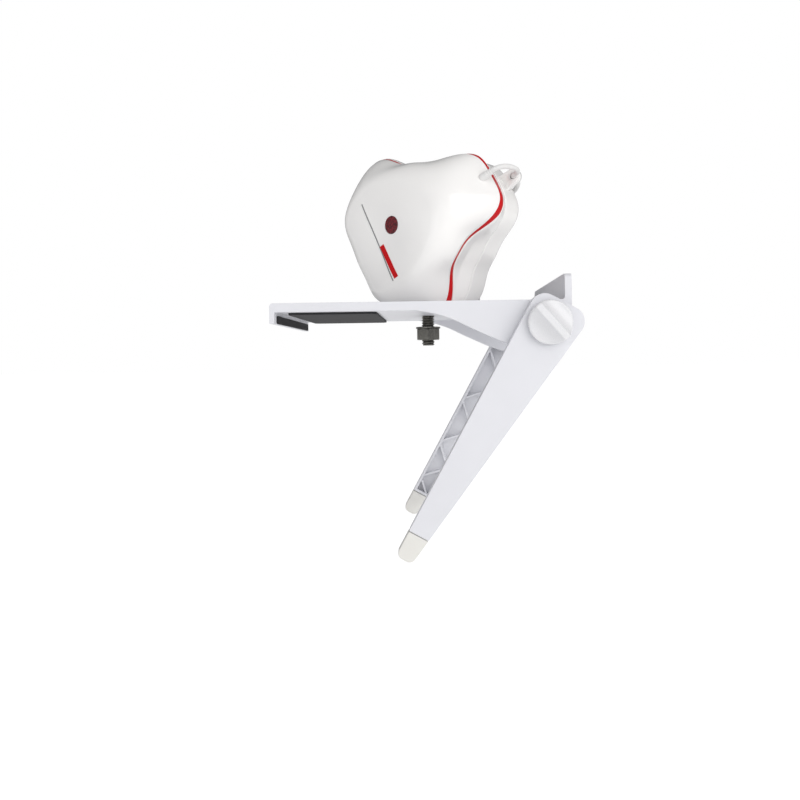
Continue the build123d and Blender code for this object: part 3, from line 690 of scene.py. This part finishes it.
def build_window():
    """Shallow domed disc in its seat."""
    profile = [(4.18, -1.3), (4.18, -0.22), (4.12, -0.12), (4.0, -0.07)]
    profile += [(radius, -0.05 + 0.12 * (1 - (radius / 4.0) ** 2))
                for radius in (3.6, 3.0, 2.3, 1.5, 0.7, 0.05)]
    profile.append((0.05, -1.3))
    normal = head_point(-SEAT_X, -SEAT_Y, 1.0) - CENTRE
    revolve("ambient_window_lens", profile, head_point(WINDOW_X, WINDOW_Y, WINDOW_Z), normal,
            "window_red", "head", "ambient_window", count=72, sharp=60)


front_shell = build_front_shell()
build_band()
build_rear_shell()
build_cap()
build_window()

# ------------------------------------------------------------------ cable, lug and plug
CABLE_RADIUS = 1.2
EXIT_Z = 9.0                    # depth at which the cable leaves the head
LUG_RADIUS, LUG_DEGREES = 48.0, 27.5
PLUG_X, PLUG_Y, PLUG_Z = 9.0, -6.05, -27.4

# out of the lobe and back through the lug: (radius, degrees, z)
CABLE_LOOP = (
    (38.8, LOBE_DEGREES, EXIT_Z), (43.0, LOBE_DEGREES, EXIT_Z), (47.2, LOBE_DEGREES, EXIT_Z),
    (50.8, 26.2, 6.9), (52.9, 25.4, 2.6), (53.4, 24.9, -1.6), (52.0, 25.2, -5.6),
    (49.4, 26.6, -8.4), (48.0, 27.5, -11.4), (47.7, 27.5, -15.0), (46.6, 27.4, -20.0),
    (42.2, 27.0, -25.2))
# behind the cap and down to the plug: (x, y, z)
CABLE_TAIL = (
    (28.0, 15.0, -27.4), (18.5, 10.5, -27.8), (11.5, 4.6, -27.7), (PLUG_X, -1.5, PLUG_Z),
    (PLUG_X, -6.2, PLUG_Z))


def smooth_path(points, steps):
    """Centripetal Catmull-Rom through the points, with a number of steps to each span."""
    points = np.vstack([2 * points[0] - points[1], points, 2 * points[-1] - points[-2]])
    gaps = np.linalg.norm(np.diff(points, axis=0), axis=1) ** 0.5
    knots = np.concatenate([[0.0], np.cumsum(gaps)])
    path = []
    for i in range(1, len(points) - 2):
        for t in np.linspace(knots[i], knots[i + 1], steps, endpoint=False):
            level = points[i - 1:i + 3]
            # each pass blends neighbours over the knots that they share
            for first, last in (((-1, 0, 1), (0, 1, 2)), ((-1, 0), (1, 2)), ((0,), (1,))):
                level = [mix(level[j], level[j + 1],
                             (t - knots[i + a]) / (knots[i + b] - knots[i + a]))
                         for j, (a, b) in enumerate(zip(first, last))]
            path.append(level[0])
    path.append(points[-2])
    return np.array(path)


def build_cable():
    points = [polar_point(*row) for row in CABLE_LOOP] + [head_point(*row) for row in CABLE_TAIL]
    path = smooth_path(np.array(points), steps=18)
    tangents = unit_rows(np.gradient(path, axis=0))
    side = np.cross(tangents[0], [0.3, 0.5, 0.81])
    angle = turn(22)[:, None]
    rings = []
    for point, tangent in zip(path, tangents):
        side = side - tangent * side.dot(tangent)
        side /= np.linalg.norm(side)
        other = np.cross(tangent, side)
        rings.append(point + CABLE_RADIUS * (np.cos(angle) * side + np.sin(angle) * other))
    cable = ring_piece("usb_cable_sleeve", rings, "cable_white", None, "usb_cable", closed=False)
    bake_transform(cable)


def build_grommet():
    profile = [
        (1.32, 39.2), (1.32, 45.3), (1.5, 45.4), (1.62, 45.2), (1.62, 44.8), (1.5, 44.6),
        (1.5, 44.2), (1.7, 44.0), (1.7, 43.6), (1.6, 43.4), (1.6, 43.1), (1.9, 42.9), (1.9, 39.2)]
    lobe_axis = polar_point(1, LOBE_DEGREES, 0) - CENTRE
    revolve("cable_grommet_sleeve", profile, head_point(0, 0, EXIT_Z), lobe_axis,
            "cable_white", "head", "cable_grommet", count=48, sharp=40)


def build_eyelet():
    profile = [(1.32, -13.7), (1.32, -9.9), (2.15, -9.75), (2.15, -10.15),
               (1.82, -10.2), (1.82, -13.4), (2.15, -13.45), (2.15, -13.85)]
    revolve("cable_eyelet_ring", rounded(profile, 0.1, 2),
            polar_point(LUG_RADIUS, LUG_DEGREES, 0), FORWARD, "cable_white", "lens_cap",
            "cable_eyelet", count=48)


def build_lug():
    """Eye on the cap: round toward the tip, flanks running back into the cap."""
    angle = turn(72)
    cos, sin = np.cos(angle), np.sin(angle)
    lug_angle = math.radians(LUG_DEGREES)
    outward = np.array([math.cos(lug_angle), math.sin(lug_angle)])
    sideways = np.array([-math.sin(lug_angle), math.cos(lug_angle)])

    def placed(out, side, z):
        flat = (LUG_RADIUS + out)[:, None] * outward + side[:, None] * sideways
        return np.column_stack([flat, np.full(len(angle), z)])

    rings = []
    for grow, z in ((-0.55, -9.95), (-0.2, -10.03), (0.0, -10.3),
                    (0.0, -13.3), (-0.2, -13.57), (-0.55, -13.65)):
        radius = 3.6 + grow
        flank = radius * np.sign(sin) * np.minimum(1.0, np.abs(sin) * 2.2) * (1 - 0.18 * cos)
        out = np.where(cos < 0, 7.0 * cos, radius * cos)
        rings.append(placed(out, np.where(cos < 0, flank, radius * sin), z))
    for radius, z in ((2.0, -13.65), (1.86, -13.5), (1.86, -10.1), (2.0, -9.95)):
        rings.append(placed(radius * cos, radius * sin, z))
    ring_piece("cap_lug", head_rings(rings), "shell_white", "lens_cap", sharp=40)


def plug_ring(half_width, half_depth, drop, power=5.0):
    """Superellipse round the plug's axis, at a distance below its top."""
    angle = turn(64)
    cos, sin = np.cos(angle), np.sin(angle)
    x = np.sign(cos) * np.abs(cos) ** (2 / power) * half_width
    z = np.sign(sin) * np.abs(sin) ** (2 / power) * half_depth
    return head_point(PLUG_X + x, PLUG_Y - drop, PLUG_Z + z)


def build_plug_grip():
    # rows of (half width, half depth, drop, power)
    rows = [(1.3, 1.3, 0.0, 2.2), (2.2, 2.0, 0.15, 2.4), (3.4, 2.6, 0.9, 3.0),
            (5.2, 3.2, 2.6, 3.6), (6.8, 3.65, 4.6, 4.4), (7.4, 3.8, 6.4)]
    for i in range(4):
        drop = 7.6 + 1.9 * i
        rows += [(7.4, 3.8, drop), (7.15, 3.45, drop + 0.25), (7.15, 3.45, drop + 0.75),
                 (7.4, 3.8, drop + 1.0)]
    rows += [(7.4, 3.8, 17.6), (7.2, 3.65, 18.3), (6.8, 3.3, 18.5), (6.2, 2.45, 18.5, 14.0),
             (6.1, 2.35, 18.3, 14.0), (6.1, 2.35, 12.6, 14.0)]
    ring_piece("plug_grip_overmould", [plug_ring(*row) for row in rows], "cable_white",
               "lens_cap", "plug_grip", sharp=40, closed=False)


def build_plug_shell():
    rows = ((6.0, 2.25, 12.65), (6.0, 2.25, 30.3), (5.95, 2.2, 30.5),
            (5.75, 2.0, 30.5), (5.7, 1.95, 30.4), (5.7, 1.95, 14.0))
    ob = ring_piece("plug_shell_sleeve", [plug_ring(*row, power=16.0) for row in rows],
                    "steel_bright", "lens_cap", "plug_shell", sharp=35, closed=False)
    # two windows through the sleeve
    cutters = []
    for x in (-2.8, 2.8):
        bpy.ops.mesh.primitive_cube_add(size=1)
        size = Matrix.Diagonal((2.2 * MM, 2.6 * MM, 8 * MM, 1))
        cutter = bpy.context.object
        cutter.matrix_world = head_matrix(PLUG_X + x, PLUG_Y - 25.0, PLUG_Z) @ size
        cutters.append(cutter)
    cut_away(ob, cutters, sharp=35)


build_cable()
build_grommet()
build_eyelet()
build_lug()
build_plug_grip()
build_plug_shell()
bevel_copy("plug_tongue", "plug_tongue_bar", 0.15, "lens_cap", segments=2)


# ------------------------------------------------------------------ screws and foam ring
def build_screws():
    head = ((0.02, 1.2), (0.02, 0.9), (1.4, 0.15), (1.9, 0.15), (2.2, 0.6), (2.25, 1.75),
            (1.25, 1.85))       # (radius, height over the flat back)
    profile = [(radius, Z_PART + height) for radius, height in head]
    profile = rounded(profile + [(1.25, 12.0), (0.02, 12.6)], 0.12, 2)
    for i, (x, y) in enumerate(SCREWS):
        revolve(f"case_screw_{i + 1}", profile, head_point(x, y, 0), FORWARD, "steel_bright",
                "head", "case_screws" if i == 0 else None, count=40)


build_screws()
FOAM = [(11.35, -6.4), (17.4, -6.4), (17.4, -5.0), (11.35, -5.0)]
revolve("screen_pad_foam", rounded(FOAM, 0.5, 4), CENTRE, FORWARD, "foam_black", "head",
        "screen_pad_ring", sharp=60)


# ------------------------------------------------------------------ accents laid on the shell
def on_shell(x, y, lift):
    """Point over the front shell's skin at (x, y), or None off the shell."""
    start = Vector(head_point(x, y, 60.0) * MM)
    hit, place, normal, _ = front_shell.ray_cast(start, Vector(-FORWARD))
    return np.array(place) / MM + np.array(normal) * lift if hit else None


def ribbon(name, start, end, width, mat, lift, thick):
    """Thin raised strip that follows the shell; ends are offsets from the window."""
    steps, lanes = 60, 6
    start = np.array(start) + (WINDOW_X, WINDOW_Y)
    end = np.array(end) + (WINDOW_X, WINDOW_Y)
    along = (end - start) / np.linalg.norm(end - start)
    side = np.array([-along[1], along[0]])
    points = []
    for height in (lift, lift - thick):
        for i in range(steps + 1):
            for j in range(lanes + 1):
                spot = mix(start, end, i / steps) + side * (j / lanes - 0.5) * width
                points.append(on_shell(*spot, height))
    # a strip that runs off the shell is left out
    if any(point is None for point in points):
        return

    def top(i, j):
        return i * (lanes + 1) + j

    def under(i, j):
        return (steps + 1) * (lanes + 1) + top(i, j)

    faces = []
    for i in range(steps):
        for j in range(lanes):
            faces.append((top(i, j), top(i, j + 1), top(i + 1, j + 1), top(i + 1, j)))
            faces.append((under(i, j), under(i + 1, j), under(i + 1, j + 1), under(i, j + 1)))
    for i in range(steps):
        for j in (0, lanes):
            faces.append((top(i, j), top(i + 1, j), under(i + 1, j), under(i, j)))
    for j in range(lanes):
        for i in (0, steps):
            faces.append((top(i, j), top(i, j + 1), under(i, j + 1), under(i, j)))
    mesh_piece(name, points, faces, mat, "head", sharp=40)


bpy.context.view_layer.update()
ribbon("accent_line", (-18.5, 12.5), (0.5, -26.5), width=0.55, mat="mark_grey",
       lift=0.1, thick=0.14)
ribbon("accent_bar", (-6.5, -9.0), (2.5, -25.0), width=2.5, mat="trim_red",
       lift=0.16, thick=0.24)

# ------------------------------------------------------------------ bracket
# (node, name ending, edge radius, body, bevel segments)
for node_name, ending, edge_radius, body_name, bevel_steps in (
        ("shelf_deck", "moulding", 0.45, "bracket", 3),
        ("support_leg", "moulding", 0.45, "leg", 3),
        ("foot_pad_near", "tip", 0.5, "leg", 3),
        ("foot_pad_far", "tip", 0.5, "leg", 3),
        ("monitor_top_pad", "sheet", 0.2, "bracket", 2),
        ("front_lip_pad", "sheet", 0.2, "bracket", 2)):
    bevel_copy(node_name, f"{node_name}_{ending}", edge_radius, body_name, bevel_steps)

KNOB_RADIUS, KNOB_HEIGHT, KNOB_ROUND = 9.65, 8.0, 0.8
KNOB_Y = 50.4                   # underside of each knob from the middle of the bracket
SCOOP_RADIUS, SCOOP_OFFSET, SCOOP_HEIGHT = 6.7, 8.1, 9.8


def knob_top(x, y):
    """Height of the flat top with a scoop on either side of the grip ridge."""
    inside = SCOOP_RADIUS ** 2 - (np.abs(y) - SCOOP_OFFSET) ** 2
    z = np.where(inside <= 0, 40.0, SCOOP_HEIGHT - np.sqrt(np.maximum(inside, 0.0)))
    softness = 0.7
    return -np.log(np.exp(-z / softness) + np.exp(-KNOB_HEIGHT / softness)) * softness


def build_knob(label, side):
    ridge = np.array([0.659, 0, -0.753])
    ridge /= np.linalg.norm(ridge)
    outward = np.array([0.0, side, 0.0])
    axes = np.array([ridge, np.cross(outward, ridge), outward])
    angle = turn(160)

    def top_ring(radius, drop=0.0):
        ring = circle(radius, 0.0, angle)
        ring[:, 2] = knob_top(ring[:, 0], ring[:, 1]) - drop
        return ring

    # underside, from the middle out: (radius, height)
    under = ((0.05, 0.15), (4.0, 0.15), (7.6, 0.15), (8.3, 0.0), (9.0, 0.0), (9.35, 0.08),
             (9.58, 0.3), (KNOB_RADIUS, 0.65))
    rings = [circle(radius, z, angle) for radius, z in under]
    edge = top_ring(KNOB_RADIUS, 0.02)[:, 2]
    for t in np.linspace(0.1, 1.0, 7):
        rings.append(circle(KNOB_RADIUS, mix(0.65, edge - KNOB_ROUND, t), angle))
    for bend in np.linspace(0.15, 1.0, 6) * PI / 2:
        rings.append(top_ring(KNOB_RADIUS - KNOB_ROUND * (1 - math.cos(bend)),
                              KNOB_ROUND * (1 - math.sin(bend))))
    rings += [top_ring(radius) for radius in np.linspace(KNOB_RADIUS - KNOB_ROUND, 0.05, 30)[1:]]
    origin = np.array([PIVOT_X, side * KNOB_Y, PIVOT_Z])
    ring_piece(f"clamp_knob_{label}_grip", [origin + ring @ axes for ring in rings],
               "knob_white", f"knob_{label}", f"clamp_knob_{label}", closed=False)


build_knob("near", -1)
build_knob("far", 1)


# ------------------------------------------------------------------ stud, washer, nut
def build_stud():
    bottom, top = -13.8, 14.0
    radius, pitch, depth, chamfer = 3.17, 1.27, 0.62, 0.7
    angle = turn(56)
    steps = int((top - bottom) / pitch * 14)
    rings = []
    for i in range(steps + 1):
        z = bottom + (top - bottom) * i / steps
        phase = (z / pitch - angle / (2 * PI)) % 1.0
        thread = radius - depth * np.clip(np.abs(phase - 0.5) * 2.6 - 0.3, 0, 1)
        limit = radius - depth + min(z - bottom, top - z, chamfer) * (depth / chamfer)
        rings.append(circle(np.minimum(thread, limit), z, angle, SWIVEL_X))
    ring_piece("mount_stud_thread", rings, "steel_dark", "head", "mount_stud", sharp=75,
               closed=False)


def build_washer():
    profile = [(3.3, -5.4), (6.1, -5.4), (6.1, -4.5), (3.3, -4.5)]
    revolve("clamp_washer_disc", rounded(profile, 0.18, 3), (SWIVEL_X, 0, 0), (0, 0, 1),
            "steel_dark", "washer", "clamp_washer")


def build_nut():
    """Hexagon with turned 30 degree corners and a countersunk bore."""
    angle = turn(144)
    half_flats = 11.11 / 2
    top = -5.45
    bottom = top - 5.55
    sector = PI / 3
    hexagon = half_flats / np.cos((angle + PI / 2) % sector - sector / 2) * 0.995
    bore = ((3.24, 0.5), (3.8, 0.0), (4.6, 0.0), (half_flats - 0.12, 0.0))   # (radius, depth)
    corners = (0.05, 0.2, 0.35, 0.5, 0.62, 0.75)                             # depths

    def ring(radius, z):
        return circle(radius, z, angle, SWIVEL_X)

    def corner_ring(depth, z):
        cone = half_flats - 0.1 + depth / math.tan(math.radians(30))
        return ring(np.minimum(hexagon, cone), z)

    rings = [ring(radius, bottom + depth) for radius, depth in bore]
    rings += [corner_ring(depth, bottom + depth) for depth in corners]
    rings += [ring(hexagon, mix(bottom + 0.75, top - 0.75, t)) for t in (0.25, 0.5, 0.75)]
    rings += [corner_ring(depth, top - depth) for depth in reversed(corners)]
    rings += [ring(radius, top - depth) for radius, depth in reversed(bore)]
    ring_piece("clamp_nut_hex", rings, "steel_dark", "nut", "clamp_nut", sharp=24)


build_stud()
build_washer()
build_nut()


# ------------------------------------------------------------------ stage, light, camera (m)
def build_floor(half=6, z=-0.1125):
    tree, shader = new_material(
        "studio_floor", Base_Color=(0.9, 0.9, 0.9, 1), Roughness=0.7,
        Specular_IOR_Level=0.1, Emission_Color=(1, 1, 1, 1))
    # the floor glows more to the camera than to the product
    seen = add_node(tree, "LightPath").outputs["Is Camera Ray"]
    glow = map_range(tree, seen, low=0.40, high=0.70)
    tree.links.new(glow, shader.inputs["Emission Strength"])
    data = bpy.data.meshes.new("floor")
    corners = [(-half, -half, z), (half, -half, z), (half, half, z), (-half, half, z)]
    data.from_pydata(corners, [], [(0, 1, 2, 3)])
    data.materials.append(MAT["studio_floor"])
    ob = bpy.data.objects.new("floor", data)
    bpy.context.scene.collection.objects.link(ob)


def build_world():
    """White to the camera; as light, bright on its side, darker behind and overhead."""
    world = bpy.data.worlds.new("world")
    bpy.context.scene.world = world
    world.use_nodes = True
    tree = world.node_tree
    tree.nodes.clear()
    link = tree.links.new
    output = add_node(tree, "OutputWorld")
    blend = add_node(tree, "MixShader")
    backdrop = add_node(tree, "Background", {"Color": (1, 1, 1, 1), "Strength": 1.0})
    light = add_node(tree, "Background", {"Color": (0.985, 0.985, 1.0, 1)})
    path = add_node(tree, "LightPath")
    place = add_node(tree, "TexCoord")
    split = add_node(tree, "SeparateXYZ")
    link(place.outputs["Generated"], split.inputs["Vector"])

    def fade(axis, start, stop, low, high):
        return map_range(tree, split.outputs[axis], low, high, start, stop, "SMOOTHSTEP")

    def product(first, second):
        node = add_node(tree, "Math", operation="MULTIPLY")
        link(first, node.inputs[0])
        link(second, node.inputs[1])
        return node.outputs["Value"]

    strength = product(fade("Y", start=-0.7, stop=0.6, low=0.95, high=0.38),
                       fade("Z", start=-0.1, stop=0.9, low=1.0, high=0.62))
    strength = product(strength, fade("X", start=-0.9, stop=0.6, low=0.72, high=1.0))
    link(strength, light.inputs["Strength"])
    link(path.outputs["Is Camera Ray"], blend.inputs[0])
    link(light.outputs[0], blend.inputs[1])
    link(backdrop.outputs[0], blend.inputs[2])
    link(blend.outputs[0], output.inputs["Surface"])


def area_light(name, place, target, size, power, color):
    data = bpy.data.lights.new(name, "AREA")
    data.shape = "RECTANGLE"
    data.size = data.size_y = size
    data.energy = power
    data.color = color
    ob = bpy.data.objects.new(name, data)
    bpy.context.scene.collection.objects.link(ob)
    ob.location = place
    aim = Vector(target) - Vector(place)
    ob.rotation_euler = aim.to_track_quat("-Z", "Y").to_euler()


def build_camera():
    data = bpy.data.cameras.new("camera")
    ob = bpy.data.objects.new("camera", data)
    bpy.context.scene.collection.objects.link(ob)
    data.sensor_width = 36.0
    data.lens = 31.275
    data.shift_x = -0.03575
    data.shift_y = -0.052
    data.clip_start = 0.01
    ob.location = (SWIVEL_X * MM, -0.350, (DECK_TOP - 25.3) * MM)
    # level, looking along +Y, with a slight roll
    level = Matrix.Rotation(math.radians(90.0), 4, "X")
    ob.rotation_euler = (level @ Matrix.Rotation(-0.0148, 4, "Z")).to_euler()
    bpy.context.scene.camera = ob


build_floor()
build_world()
area_light("key", place=(0.75, -0.95, 0.55), target=(0.07, 0, 0.02), size=1.0, power=6.2,
           color=(1.0, 0.985, 0.965))
area_light("fill", place=(-0.7, -0.9, -0.02), target=(0.07, 0, -0.02), size=0.9, power=1.3,
           color=(0.97, 0.98, 1.0))
build_camera()
view = bpy.context.scene.view_settings
view.view_transform = "Standard"
view.look = "None"
